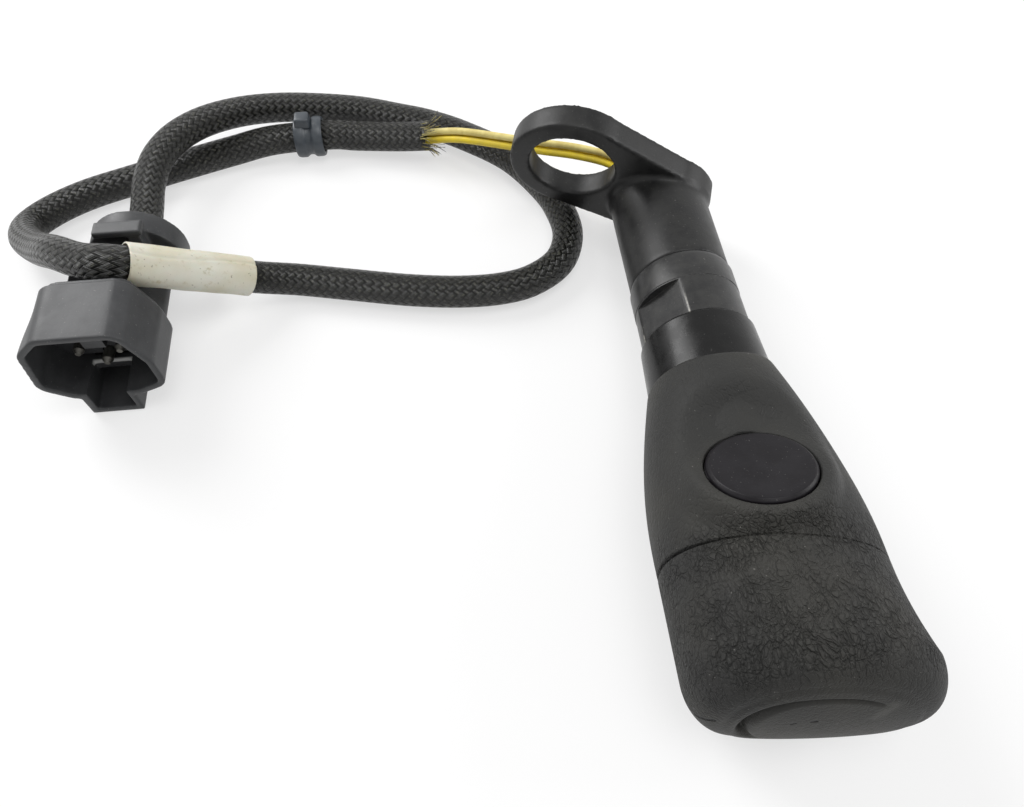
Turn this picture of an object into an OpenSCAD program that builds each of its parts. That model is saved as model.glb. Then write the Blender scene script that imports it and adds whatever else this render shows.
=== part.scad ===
// Industrial joystick: cranked eye lug, padded grip with one push button, sleeved
// lead with a sealed three-way connector. Millimetres. It lies on z = 0, button up.

/* [Arm and lug] */
// Diameter of the steel arm
arm_d = 24; // [22:0.5:27]
// Length of the arm from the adapter to the face of the lug
arm_len = 28; // [24:1:36]
// Depth of the relief groove at the foot of the arm
groove_depth = 0.4; // [0.2:0.1:0.8]
// Width of the relief groove
groove_w = 1.6; // [1:0.2:3]
// Thickness of the lug plate
lug_t = 6.4; // [5:0.2:8]
// Outer radius of the eye
eye_r = 15.8; // [14.5:0.1:18]
// Bore of the eye
eye_bore_d = 21.6; // [16:0.2:22]
// Distance from the arm's axis to the middle of the eye
eye_reach = 25.6; // [24:0.2:32]
// Radius of the lug round the arm
hub_r = 13.6; // [13:0.1:15]
// Turn of the lug plate about the upright
lug_yaw = 17; // [0:1:20]
// Backward slope of the lug plate
lug_slope = 15; // [0:1:18]
// Rise of the eye above the arm, as an angle
lug_rise = 27; // [15:1:35]
// Bore for the wires through the arm
wire_bore_d = 9; // [7:0.5:10]

/* [Adapter and collar] */
// Length of the adapter with the wrench flats
adapter_len = 18; // [15:0.5:22]
// Diameter of the adapter
adapter_d = 24.8; // [23:0.2:26]
// Distance across the wrench flats
flats_w = 21; // [20:0.5:22.5]
// Turn of the wrench flats about the axis
flats_turn = 50; // [0:5:90]
// Length of the collar that shows
collar_len = 13.2; // [10:0.2:18]
// Diameter of the collar at the adapter
collar_d = 26.2; // [25:0.2:27]
// Diameter of the collar at the grip
collar_end_d = 27.4; // [26:0.2:28]
// Outer diameter of the core tube
tube_d = 16; // [14:0.5:17]

/* [Grip] */
// Length of the grip from the collar to its end
grip_len = 69.4; // [66:0.2:80]
// Width of the grip at its middle
grip_w = 41.8; // [39:0.2:46]
// Widening of the heel to the right, towards its end
heel_kick = 3; // [0:0.1:4]
// Height of the grip as a share of its width
grip_flat = 0.89; // [0.85:0.01:1]
// Swell of the palm side to the right
palm_swell = 1.1; // [0:0.1:3]
// Distance from the collar to the heel joint
heel_at = 42; // [38:0.5:48]
// Slant of the heel joint across the grip
heel_skew = 8; // [0:1:12]
// Slant of the end across the grip
end_skew = 4.5; // [0:0.5:12]
// Slope of the end face, top to bottom
end_slope = 3.6; // [0:0.2:12]
// Doming of the end from its middle to its upper and lower edge
end_dome = 2.4; // [0:0.1:4]
// Length over which the end is rounded
end_round = 7.8; // [5:0.2:10]
// Depth of the same rounding across the grip
end_inset = 5.5; // [4:0.1:8]
// Diameter of the moulded core that carries the switch
core_d = 26; // [24:0.5:28]
// Width of the flat round the button
face_rim = 6; // [4:0.5:7]

/* [Push button] */
// Diameter of the button
button_d = 20; // [16:0.5:21]
// Gap round the button
button_gap = 0.5; // [0.3:0.1:0.8]
// Distance from the arm's axis to the button's face
button_h = 18.4; // [18:0.1:20]
// Distance from the collar to the button's axis
button_at = 33.7; // [31:0.5:40]
// Offset of the button to the left
button_side = 1; // [0:0.5:3]
// Lean of the button towards the arm
button_lean = 17; // [0:1:20]
// Travel of the button
button_travel = 2.4; // [1:0.1:2.5]
// Outer diameter of the switch housing
switch_d = 17; // [15:0.5:18]
// Diameter of the plunger
plunger_d = 6; // [4:0.5:7]

/* [Lead] */
// Outer diameter of the braided sleeve
sleeve_d = 8.4; // [7.6:0.1:9]
// Diameter of one wire
wire_d = 1.9; // [1.4:0.1:2.4]
// Wall of the marker sleeve
label_wall = 0.6; // [0.4:0.1:1]
// Width of the cable tie
tie_w = 8; // [4:0.5:10]

/* [Connector] */
// Width of the connector mouth
conn_w = 28.3; // [27:0.1:31]
// Height of the connector above its latch pocket
conn_h = 23; // [22:0.5:25]
// Depth of the mouth
mouth_depth = 14; // [12:0.5:16]
// Wall of the connector shell
shell_wall = 1.6; // [1.2:0.1:2]
// Diameter of the rear cap
cap_d = 23; // [22:0.5:24]
// Diameter of one contact pin
pin_d = 2.5; // [1.5:0.1:3]

/* [Fits] */
// Clearance on the radius between fitted pieces
fit = 0.1; // [0.05:0.01:0.2]
// Clearance on the radius of the plunger in its guide
slide_fit = 0.05; // [0.02:0.01:0.1]
// Clearance between loose curved pieces
loose = 0.3; // [0.2:0.05:0.5]

/* [Hidden] */
$fn = 64;

// Stations along the lever, measured from the joint of adapter and collar
lug_y = adapter_len + arm_len;
tube_y0 = -collar_len - 13;
tube_y1 = adapter_len + 15;
wires_y0 = -collar_len - button_at + switch_d / 2 + 3;
spigot_len = 6;
spigot_d = 21;
core_y0 = -collar_len - heel_at - 15;
core_y1 = -collar_len - spigot_len - 0.2;
seam_y = -collar_len - heel_at;

// Depths along the button's axis, measured from the lever's axis
cap_t = 3;
cap_z = button_h - cap_t;
ring_z = cap_z - button_travel - 0.3;
ring_t = 1.4;
flange_t = 1.2;
seat_z = ring_z - ring_t - flange_t;
base_z = -6;
well_z = -9.5;
contact_z = 1;
roof_z = seat_z - 5;
spring_z = seat_z - 1.3;
spring_d = plunger_d + 4.4;
seal_z = 3.4;

// The lever rests on the belly of its grip and on the rim of its lug
belly_at = 40;
rest_s = belly_at - 5;
belly_r = grip_w / 2 * grip_flat;
belly_s = grip_len - end_round;
rest_r = half_w(rest_s) * grip_flat;
rim_y = lug_y + hub_r * cos(lug_yaw) * sin(lug_slope);
rim_z = hub_r * cos(lug_slope);
tilt = atan((rest_r - rim_z) / (rim_y + collar_len + rest_s));
lever_pos = [6.4, 11.4, rest_r * cos(tilt) - (collar_len + rest_s) * sin(tilt)];

// The connector lies on its latch pocket, mouth towards -Y
conn_pos = [-129.65, 16.4, 0];
cap_x = 3.25;
pocket_h = 6.5;
shell_len = mouth_depth + 3.2;
cap_len = 6;
conn_len = 43;
rail_y = conn_len - cap_len - 3.5;
pins = [[-5.2, 14.6], [4.2, 14.6], [-0.4, 10.4]];
seal_d = cap_d - 4;

// Centre line of the braided sleeve, from its open end to the connector
sleeve_path = [
    [-52.6, 96.8, 7.5], [-60.6, 98.8, 6.2], [-72.6, 101.4, 5.2], [-80.6, 102, 5.8],
    [-96.6, 101.4, 5.8], [-108.6, 99.4, 4.6], [-122.6, 95, 4.4], [-135.6, 90.4, 4.4],
    [-147.1, 86, 4.4], [-155.6, 80.9, 4.4], [-160.2, 74.4, 5.4], [-158, 66.4, 9],
    [-149.9, 56.7, 15], [-140, 46.9, 23.3], [-132, 41.4, 25.9], [-124, 39.3, 26.8],
    [-114.1, 42.8, 19.5], [-105.9, 45.8, 13.4], [-97.6, 48.7, 7.3], [-87.6, 49, 4.8],
    [-74.6, 46.4, 4.4], [-59.6, 43.1, 4.4], [-46.6, 41.3, 4.4], [-35.8, 41.3, 4.4],
    [-27.4, 43.4, 4.4], [-20, 48.9, 4.4], [-16.6, 57.4, 4.4], [-17.3, 66.4, 4.4],
    [-20.7, 75.9, 4.4], [-29.2, 89, 4.4], [-41.6, 99.4, 4.4], [-51.6, 105.5, 4.4],
    [-60.6, 109, 4.6], [-71.6, 112, 5.5], [-83.6, 112.7, 7], [-95.1, 111.7, 8.8],
    [-105.6, 108.4, 10.8], [-114.6, 102.6, 12.8], [-121.1, 95.4, 14], [-125, 87.4, 14.2],
    [-126.6, 79.2, 13.2], [-126.6, 71.2, 11.9], [-126.4, 64.7, 11.5], [-126.4, 59.8, 11.5]];
// Centre line of the three wires between the lug and the open end of the sleeve
wire_path = [
    [2.4, 70.4, 13.8], [-4.1, 75.4, 14.2], [-12.1, 78.8, 14.4], [-20.6, 81.6, 14.2],
    [-29.6, 85.4, 13.4], [-37.6, 89.4, 12.2], [-43.1, 92.4, 10.9], [-47.6, 95, 9]];
label_from = [-122.4, 39.9, 25.6];
label_to = [-98.3, 48.45, 7.82];
tie_at = [-86.3, 101.79, 5.8];

// ---------- helpers ----------

// A cylinder along the lever, from y0 to y1
module rod(d, y0, y1, d1 = undef) {
    translate([0, y0, 0]) rotate([-90, 0, 0])
        cylinder(h = y1 - y0, d1 = d, d2 = is_undef(d1) ? d : d1);
}

// A tube along the lever
module pipe(d, bore, y0, y1) {
    difference() {
        rod(d, y0, y1);
        rod(bore, y0 - 1, y1 + 1);
    }
}

// Puts the lever's own frame into the part's frame
module on_lever() {
    translate(lever_pos) rotate([-tilt, 0, 0]) children();
}

function lever_point(p) = lever_pos
    + [p[0], p[1] * cos(tilt) + p[2] * sin(tilt), p[2] * cos(tilt) - p[1] * sin(tilt)];

// Puts the button's frame, Z out of the grip, into the lever's
module on_button() {
    translate([-button_side, -collar_len - button_at, 0]) rotate([-button_lean, 0, 0])
        children();
}

// Puts the frame of the lug plate, Y through the plate, into the lever's
module on_lug() {
    translate([0, lug_y, 0]) rotate([lug_slope, 0, -lug_yaw]) rotate([0, lug_rise, 0])
        children();
}

function unit(v) = v / norm(v);
function tangent(path, i) = unit(path[min(i + 1, len(path) - 1)] - path[max(i - 1, 0)]);

// A round tube swept along a path
module cord(path, d, sides) {
    n = len(path);
    ring_of = function(i)
        let (t = tangent(path, i), s = unit(cross(t, [0, 0, 1])), u = cross(s, t))
        [for (k = [0 : sides - 1])
            path[i] + d / 2 * (cos(360 * k / sides) * s + sin(360 * k / sides) * u)];
    polyhedron(
        points = [for (i = [0 : n - 1]) each ring_of(i)],
        faces = [
            [for (k = [0 : sides - 1]) k],
            for (i = [0 : n - 2]) for (k = [0 : sides - 1])
                [i * sides + k, (i + 1) * sides + k,
                 (i + 1) * sides + (k + 1) % sides, i * sides + (k + 1) % sides],
            [for (k = [sides - 1 : -1 : 0]) (n - 1) * sides + k]],
        convexity = 10);
}

// A straight cylinder or tube between two points
module between(a, b, d, bore = 0) {
    v = b - a;
    translate(a) rotate([0, acos(v[2] / norm(v)), atan2(v[1], v[0])]) difference() {
        cylinder(h = norm(v), d = d);
        if (bore > 0) translate([0, 0, -1]) cylinder(h = norm(v) + 2, d = bore);
    }
}

// ---------- arm, adapter and collar ----------

module lug_plate() {
    // Eye and hub joined by their two common tangents
    lean = asin((eye_r - hub_r) / eye_reach);
    translate([-eye_reach, 0, 0]) rotate([-90, 0, 0]) cylinder(h = lug_t, r = eye_r);
    rotate([-90, 0, 0]) cylinder(h = lug_t, r = hub_r);
    rotate([-90, 0, 0]) linear_extrude(height = lug_t) polygon([
        [-hub_r * sin(lean), hub_r * cos(lean)],
        [-eye_reach - eye_r * sin(lean), eye_r * cos(lean)],
        [-eye_reach - eye_r * sin(lean), -eye_r * cos(lean)],
        [-hub_r * sin(lean), -hub_r * cos(lean)]]);
}

// Concave ring in front of the plate, round a shaft of radius r
module fillet(r, f) {
    rotate([90, 0, 0]) rotate_extrude() polygon([
        [0, -0.5], [r + f, -0.5],
        for (a = [0 : 15 : 90]) [r + f - f * sin(a), f - f * cos(a)],
        [0, f]]);
}

module lever_arm() {
    color("#202124") on_lever() difference() {
        union() {
            rod(arm_d - 2 * groove_depth, adapter_len, adapter_len + groove_w);
            // The arm runs into the plate and is cut off inside it
            intersection() {
                rod(arm_d, adapter_len + groove_w, lug_y + 8);
                on_lug() translate([-40, -60, -40]) cube([80, 60.5, 80]);
            }
            on_lug() fillet(arm_d / 2, hub_r - 0.3 - arm_d / 2);
            on_lug() lug_plate();
        }
        on_lug() translate([-eye_reach, -1, 0]) rotate([-90, 0, 0])
            cylinder(h = lug_t + 2, d = eye_bore_d);
        rod(wire_bore_d, adapter_len - 1, lug_y + 30);
        rod(tube_d + 2 * fit, adapter_len - 1, tube_y1 + fit);
    }
}

module adapter_nut() {
    flat_y = 16.5;
    color("#232426") on_lever() difference() {
        union() {
            rod(adapter_d - 0.8, 0, 0.5, adapter_d);
            rod(adapter_d, 0.5, adapter_len - fit);
        }
        rod(tube_d + 2 * fit, -1, adapter_len + 1);
        for (side = [0, 180]) rotate([0, side - flats_turn, 0])
            translate([-adapter_d, -1, flats_w / 2]) cube([2 * adapter_d, flat_y + 1, adapter_d]);
    }
}

module grip_collar() {
    color("#141416") on_lever() difference() {
        union() {
            rod(collar_end_d, -collar_len, -0.8, collar_d);
            rod(collar_d, -0.8, -fit, collar_d - 1);
            rod(spigot_d, -collar_len - spigot_len, -collar_len);
        }
        rod(tube_d + 2 * fit, -collar_len - spigot_len - 1, 1);
    }
}

module core_tube() {
    color("#8c8f92") on_lever() pipe(tube_d, wire_bore_d + 1, tube_y0, tube_y1);
}

// Rubber grommet in the mouth of the wire bore
module wire_grommet() {
    color("#101010") on_lever() difference() {
        rod(wire_bore_d - 2 * fit, lug_y, lug_y + 4.5);
        for (w = wires) translate([w[0], 0, w[1]]) rod(wire_d + 2 * fit, lug_y - 1, lug_y + 12);
    }
}

// ---------- grip ----------

function smooth(u) = let (v = min(1, max(0, u))) v * v * (3 - 2 * v);
function half_w(s) = let (neck = collar_end_d / 2 + 0.3, body = grip_w / 2)
    neck + (body - neck) * sin(90 * min(1, s / belly_at));
// Drawing in of the rounded end, and share of the heel behind a station
function end_cut(s) = s <= belly_s ? 0
    : end_inset * (1 - sqrt(max(0, 1 - pow((s - belly_s) / end_round, 2))));
function heel_share(s) = min(1, max(0, (s - heel_at) / (belly_s - heel_at)));
function flatness(s) = 1 - (1 - grip_flat) * smooth(s / 26);

// Height of the flat round the button, and how far the grip's top follows it at a point
face_mid = [-button_side, -collar_len - button_at + button_h * sin(button_lean),
            button_h * cos(button_lean)];
function face_height(y) = face_mid[2] - 0.6 - (y - face_mid[1]) * tan(button_lean);
function face_share(x, y) = smooth((button_d / 2 + face_rim
    - norm([x - face_mid[0], (y - face_mid[1]) / cos(button_lean)])) / (face_rim - 1.5));

// One ring of the grip: s along the grip, q shrinks the ring, lift moves the middle out
function grip_ring(s, q = 1, lift = 0, sides = 44) =
    let (w = (half_w(s) - end_cut(s)) * q, h = w * flatness(s), e = 2 / 2.2,
         u = smooth((s - heel_at) / (grip_len - heel_at)),
         skew = tan(heel_skew) * smooth(s / heel_at) * (1 - u) + tan(end_skew) * u,
         kick = heel_kick * pow(heel_share(s), 2) * q)
    [for (k = [0 : sides - 1])
        let (a = 360 * k / sides, c = cos(a), n = sin(a),
             x = w * sign(c) * pow(abs(c), e) + palm_swell * smooth(s / heel_at)
                 + kick * max(0, c),
             z = h * sign(n) * pow(abs(n), e),
             bend = z * tan(end_slope) + end_dome * pow(z / belly_r, 2),
             y = -collar_len - s - lift - x * skew + bend * u,
             share = n > 0.3 ? face_share(x, y) : 0)
        [x, y, z + share * (face_height(y) - z)]];

// Solid through a list of rings
module loft(rings) {
    n = len(rings);
    m = len(rings[0]);
    polyhedron(
        points = [for (r = rings) each r],
        faces = [
            [for (k = [m - 1 : -1 : 0]) k],
            for (i = [0 : n - 2]) for (k = [0 : m - 1]) each [
                [i * m + k, i * m + (k + 1) % m, (i + 1) * m + (k + 1) % m],
                [i * m + k, (i + 1) * m + (k + 1) % m, (i + 1) * m + k]],
            [for (k = [0 : m - 1]) (n - 1) * m + k]],
        convexity = 6);
}

module grip_body() {
    color("#2b2c2e") on_lever() difference() {
        loft([for (i = [0 : 15]) grip_ring(heel_at * i / 15)]);
        rod(spigot_d + 2 * fit, -collar_len - spigot_len - fit, 1);
        rod(core_d + 2 * fit, core_y0 - 20, core_y1 + fit);
        on_button() translate([0, 0, seat_z - fit])
            cylinder(h = 40, d = button_d + 2 * button_gap);
        on_button() cylinder(h = 40, d = switch_d + 2 * fit);
    }
}

module grip_heel() {
    // Edge of the end, groove, and low dome inside the groove
    end_rings = [[0.94, 0.4], [0.86, 0.6], [0.8, -0.2], [0.75, -0.7], [0.68, -0.2],
                 [0.5, 0.6], [0.25, 1.1], [0.03, 1.3]];
    color("#2b2c2e") on_lever() difference() {
        loft([
            for (i = [0 : 6]) grip_ring(heel_at + (belly_s - heel_at) * i / 6),
            for (a = [15 : 15 : 90]) grip_ring(belly_s + end_round * sin(a)),
            for (e = end_rings) grip_ring(grip_len, e[0], e[1])]);
        rod(core_d + 2 * fit, core_y0 - fit, 0);
    }
}

module switch_carrier() {
    color("#3a3b3d") on_lever() difference() {
        rod(core_d, core_y0, core_y1);
        rod(tube_d + 2 * fit, tube_y0 - fit, 0);
        rod(wire_bore_d, wires_y0 - 6, 0);
        on_button() translate([0, 0, well_z]) cylinder(h = 40, d = switch_d + 2 * fit);
        on_button() translate([0, 0, seat_z])
            cylinder(h = 40, d = button_d + 2 * button_gap);
    }
}

// ---------- switch ----------

module switch_housing() {
    color("#1b1b1d") on_lever() on_button() difference() {
        union() {
            translate([0, 0, base_z]) cylinder(h = seat_z - base_z, d = switch_d);
            translate([0, 0, seat_z]) cylinder(h = flange_t, d = button_d);
        }
        // Contact chamber, guide for the plunger and seat for the spring
        translate([0, 0, base_z - 1]) cylinder(h = roof_z - base_z + 1, d = switch_d - 3.2);
        cylinder(h = 40, d = plunger_d + 2 * slide_fit);
        translate([0, 0, spring_z]) cylinder(h = 40, d = spring_d + 1.2);
        // Groove for the O-ring
        translate([0, 0, seal_z - 0.6]) difference() {
            cylinder(h = 1.2, d = switch_d + 2);
            translate([0, 0, -1]) cylinder(h = 4, d = switch_d - 2);
        }
    }
}

module switch_base() {
    color("#6b2f1e") on_lever() on_button() translate([0, 0, base_z]) difference() {
        cylinder(h = 2, d = switch_d - 3.2 - 2 * fit);
        for (a = [0, 120, 240]) rotate(a) translate([4.2, 0, 0])
            cube([0.8 + 2 * fit, 3 + 2 * fit, 20], center = true);
    }
}

module switch_terminals() {
    color("#c9a86a") on_lever() on_button() for (a = [0, 120, 240]) rotate(a)
        translate([4.2, 0, 0]) {
            translate([-0.4, -1.5, well_z + 0.8])
                cube([0.8, 3, contact_z - button_travel - 0.6 - well_z - 0.8]);
            translate([0, 0, contact_z - button_travel - 0.6]) cylinder(h = 0.4, d = 2.6);
        }
}

module retaining_ring() {
    color("#9a9c9f") on_lever() on_button() translate([0, 0, ring_z - ring_t]) difference() {
        cylinder(h = ring_t, d = button_d);
        translate([0, 0, -1]) cylinder(h = 4, d = button_d - 5);
        for (a = [45, 225]) rotate(a) translate([button_d / 2, 0, 0])
            cube([3, 2, 6], center = true);
    }
}

// O-ring between the switch housing and the carrier
module housing_seal() {
    color("#0c0c0c") on_lever() on_button() translate([0, 0, seal_z]) rotate_extrude()
        translate([switch_d / 2 + fit - 0.5, 0]) circle(d = 1, $fn = 24);
}

module button_cap() {
    edge = 0.7;
    color("#1c1a20") on_lever() on_button() difference() {
        union() {
            translate([0, 0, cap_z]) cylinder(h = cap_t - edge, d = button_d);
            translate([0, 0, button_h - edge])
                cylinder(h = edge, d1 = button_d, d2 = button_d - 2 * edge);
        }
        // The plunger's head seats in the back of the cap
        translate([0, 0, cap_z - 1]) cylinder(h = 2.2, d = plunger_d + 2 + 2 * slide_fit);
    }
}

module plunger() {
    color("#d8d6cf") on_lever() on_button() {
        translate([0, 0, contact_z + 0.8]) cylinder(h = cap_z - contact_z - 0.8, d = plunger_d);
        translate([0, 0, cap_z - 0.01]) cylinder(h = 1.2, d = plunger_d + 2);
        translate([0, 0, contact_z - 0.6]) cylinder(h = 1.5, d = 2.4);
        // Shoulder that stops the button under the roof of the housing
        translate([0, 0, roof_z - 1.3]) cylinder(h = 1.2, d = plunger_d + 3);
    }
}

module moving_contact() {
    color("#c9a86a") on_lever() on_button() translate([0, 0, contact_z]) difference() {
        cylinder(h = 0.8, d = 11.4);
        translate([0, 0, -1]) cylinder(h = 3, d = 2.4 + 2 * slide_fit);
    }
}

module return_spring() {
    turns = 3.5;
    steps = 14;
    wire = 0.5;
    z0 = spring_z + wire / 2;
    z1 = cap_z - wire / 2;
    color("#b5b8ba") on_lever() on_button() cord([for (i = [0 : turns * steps])
        let (a = 360 * i / steps, u = i / (turns * steps))
        [spring_d / 2 * cos(a), spring_d / 2 * sin(a), z0 + (z1 - z0) * u]], wire, 6);
}

// ---------- lead ----------

// Places of the three wires round the middle of the bundle
wires = [[0, 1.25], [-1.15, -0.75], [1.15, -0.75]];

// One wire, straight through the lever and then free as far as the sleeve
module wire(w) {
    n = len(wire_path);
    t_end = unit(sleeve_path[1] - sleeve_path[0]);
    s_end = unit(cross(t_end, [0, 0, 1]));
    inside = [for (y = [wires_y0, lug_y + lug_t + 5]) lever_point([w[0], y, w[1]])];
    free = [for (i = [0 : n - 1])
        wire_path[i] + w[0] * unit(cross(tangent(wire_path, i), [0, 0, 1])) + [0, 0, w[1]]];
    last = [for (k = [1.5, 0])
        sleeve_path[0] - t_end * k + w[0] * s_end + w[1] * cross(s_end, t_end)];
    cord(concat(inside, free, last), wire_d, 8);
}

module wire_yellow_a() { color("#e3cf2e") wire(wires[1]); }
module wire_yellow_b() { color("#e3cf2e") wire(wires[2]); }
module wire_white() { color("#d9d3bd") wire(wires[0]); }

module braided_sleeve() {
    color("#1d1d1f") cord(sleeve_path, sleeve_d, 12);
}

module marker_sleeve() {
    bore = sleeve_d + 2 * loose;
    color("#d6d2c6") between(label_from, label_to, bore + 2 * label_wall, bore);
}

module cable_tie() {
    bore = sleeve_d + 2 * loose;
    color("#3a4148") translate(tie_at) rotate([0, 90, 0]) difference() {
        union() {
            cylinder(h = tie_w, d = bore + 1.4, center = true);
            for (x = [-tie_w / 2 + 1.2, tie_w / 2 - 1.2]) translate([0, 0, x])
                cylinder(h = 1.6, d = bore + 2.2, center = true);
            // Head that locks the band
            translate([-bore / 2 - 3.4, -2.4, -tie_w / 2]) cube([4, 4.8, tie_w * 0.6]);
        }
        cylinder(h = tie_w + 4, d = bore, center = true);
    }
}

// ---------- connector ----------

// Rounded outline of the connector, seen into the mouth, shrunk by inset
module conn_outline(inset) {
    x = conn_w / 2;
    top = pocket_h + conn_h;
    hull() for (p = [[-x + 8.5, top - 4.3, 4.3], [-x + 5.3, top - 6.9, 4],
                     [-x + 4, 13.2, 4], [-x + 7.5, 10.5, 4], [x - 8, 10.5, 4],
                     [x - 4, 12.2, 4], [x - 4, top - 11.5, 4], [x - 6.9, top - 4.5, 4.5]])
        translate([p[0], p[1]]) circle(r = p[2] - inset, $fn = 32);
}

// Extrudes along Y, from y0 to y1
module along_y(y0, y1) {
    translate([0, y1, 0]) rotate([90, 0, 0]) linear_extrude(height = y1 - y0) children();
}

module connector_housing() {
    color("#3b3d40") translate(conn_pos) difference() {
        union() {
            along_y(0, mouth_depth + 1.5) conn_outline(0);
            along_y(mouth_depth + 1.5, shell_len) conn_outline(1.3);
            // Latch pocket under the mouth
            translate([-6.85, 0, 0]) cube([12.2, mouth_depth, pocket_h + 0.5]);
            // Body behind the shell
            along_y(shell_len, conn_len - cap_len) hull()
                for (p = [[-8.25, 15.5], [5.25, 15.5], [8.35, 10], [6.75, 8.5], [-6.25, 8.5]])
                    translate(p) circle(r = 3, $fn = 32);
            // Round rear cap
            translate([cap_x, 0, cap_d / 2]) rod(cap_d, conn_len - cap_len, conn_len);
            // Mounting rail on a post
            translate([5.25, rail_y + 0.5, 14]) cube([3, 3.5, 10]);
            translate([-2.25, rail_y, 23.5]) cube([11.5, 4, 1.8]);
        }
        // Mouth
        along_y(-1, mouth_depth) conn_outline(shell_wall);
        // Latch channel, open to the mouth as far as its bar
        translate([-5.05, -1, 1.6]) cube([9, 10.5, 7]);
        translate([-5.05, 9, 1.6]) cube([9, mouth_depth - 10.5, 3.3]);
        translate([-5.05, 11.5, 1.6]) cube([9, mouth_depth - 13, 7]);
        // Cavities for the pins and the bore for the rear seal
        for (p = pins) translate([p[0], 0, p[1]]) rod(pin_d + 2 * fit, 0, conn_len - 4.9);
        translate([cap_x, 0, cap_d / 2]) rod(seal_d, conn_len - 5, conn_len + 1);
    }
}

// Insert that locks the contacts, at the floor of the mouth
module wedge_lock() {
    color("#55585c") translate(conn_pos) difference() {
        union() {
            along_y(mouth_depth - 3, mouth_depth) intersection() {
                conn_outline(shell_wall + 0.3);
                translate([-20, 9.3]) square([40, 30]);
            }
            translate([-2.8, mouth_depth - 7, 16.5]) cube([4.8, 7, 6]);
        }
        for (p = pins) translate([p[0], 0, p[1]]) rod(pin_d + 2 * loose, 0, 40);
    }
}

module contact_pins() {
    color("#b9b3a4") translate(conn_pos) for (p = pins) translate([p[0], 0, p[1]]) {
        rod(pin_d, 8, conn_len - 5);
        rod(pin_d - 1.2, 7, 8, pin_d);
    }
}

module rear_seal() {
    color("#7a3b2a") translate(conn_pos) translate([cap_x, 0, cap_d / 2])
        rod(seal_d - 2 * fit, conn_len - 5 + fit, conn_len);
}

// Boot that closes the cap round the end of the braid
module rear_boot() {
    color("#26272a") translate(conn_pos) translate([cap_x, 0, cap_d / 2]) difference() {
        rod(cap_d - 2, conn_len, conn_len + 4, sleeve_d + 5);
        rod(sleeve_d + 2 * loose, conn_len + 0.2, conn_len + 8);
    }
}

lever_arm();
adapter_nut();
grip_collar();
core_tube();
grip_body();
grip_heel();
switch_carrier();
switch_housing();
switch_base();
switch_terminals();
retaining_ring();
housing_seal();
button_cap();
plunger();
moving_contact();
return_spring();
wire_grommet();
wire_yellow_a();
wire_yellow_b();
wire_white();
braided_sleeve();
marker_sleeve();
cable_tie();
connector_housing();
wedge_lock();
contact_pins();
rear_seal();
rear_boot();
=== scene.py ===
import math
import random

import bmesh
import bpy
from mathutils import Matrix, Vector, noise


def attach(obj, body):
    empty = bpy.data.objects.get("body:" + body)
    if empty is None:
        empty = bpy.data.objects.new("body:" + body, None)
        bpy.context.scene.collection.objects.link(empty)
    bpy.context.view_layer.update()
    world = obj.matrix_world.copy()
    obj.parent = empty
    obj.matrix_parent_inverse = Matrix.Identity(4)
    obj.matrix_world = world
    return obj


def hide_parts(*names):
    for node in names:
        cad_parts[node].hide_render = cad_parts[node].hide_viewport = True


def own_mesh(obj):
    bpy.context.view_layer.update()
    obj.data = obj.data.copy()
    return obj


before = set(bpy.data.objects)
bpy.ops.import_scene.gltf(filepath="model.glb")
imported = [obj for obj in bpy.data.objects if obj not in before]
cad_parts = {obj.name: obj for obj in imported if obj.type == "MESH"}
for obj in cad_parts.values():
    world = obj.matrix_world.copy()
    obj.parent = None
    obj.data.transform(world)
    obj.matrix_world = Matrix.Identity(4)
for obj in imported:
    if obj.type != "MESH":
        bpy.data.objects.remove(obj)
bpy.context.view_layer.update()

# ---------------------------------------------------------------------------
# Camera, lamps and floor.
# The lever lies on a white table, button up, seen from above its grip end with a
# short lens close by. Soft boxes stand behind on the left, overhead and on the right.
# ---------------------------------------------------------------------------

camera = bpy.data.objects.new("camera", bpy.data.cameras.new("camera"))
bpy.context.collection.objects.link(camera)
camera.data.lens = 28.125
camera.data.sensor_width = 36.0
camera.data.clip_start = 0.01
camera.location = (-0.0462, -0.0895, 0.1659)
camera_tilt, camera_turn = math.radians(30.9), math.radians(-5.652)
camera.rotation_euler = (camera_tilt, 0.0, camera_turn)
bpy.context.scene.camera = camera


def soft_box(name, place, aim, size, watts):
    """A rectangular lamp at place, facing aim."""
    lamp = bpy.data.lights.new(name, "AREA")
    lamp.shape = "RECTANGLE"
    lamp.size, lamp.size_y = size
    lamp.energy = watts
    holder = bpy.data.objects.new(name, lamp)
    bpy.context.collection.objects.link(holder)
    holder.location = place
    holder.rotation_euler = (Vector(aim) - Vector(place)).to_track_quat("-Z", "Y").to_euler()


soft_box("lamp_left", place=(-0.52, 0.50, 0.50), aim=(0, 0.02, 0.02), size=(0.35, 0.6),
         watts=5.5)
soft_box("lamp_top", place=(0.1, -0.1, 0.9), aim=(0, 0, 0), size=(0.5, 0.5), watts=2.7)
soft_box("lamp_right", place=(0.7, 0.1, 0.35), aim=(0, 0, 0), size=(0.3, 0.4), watts=2.0)


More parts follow.
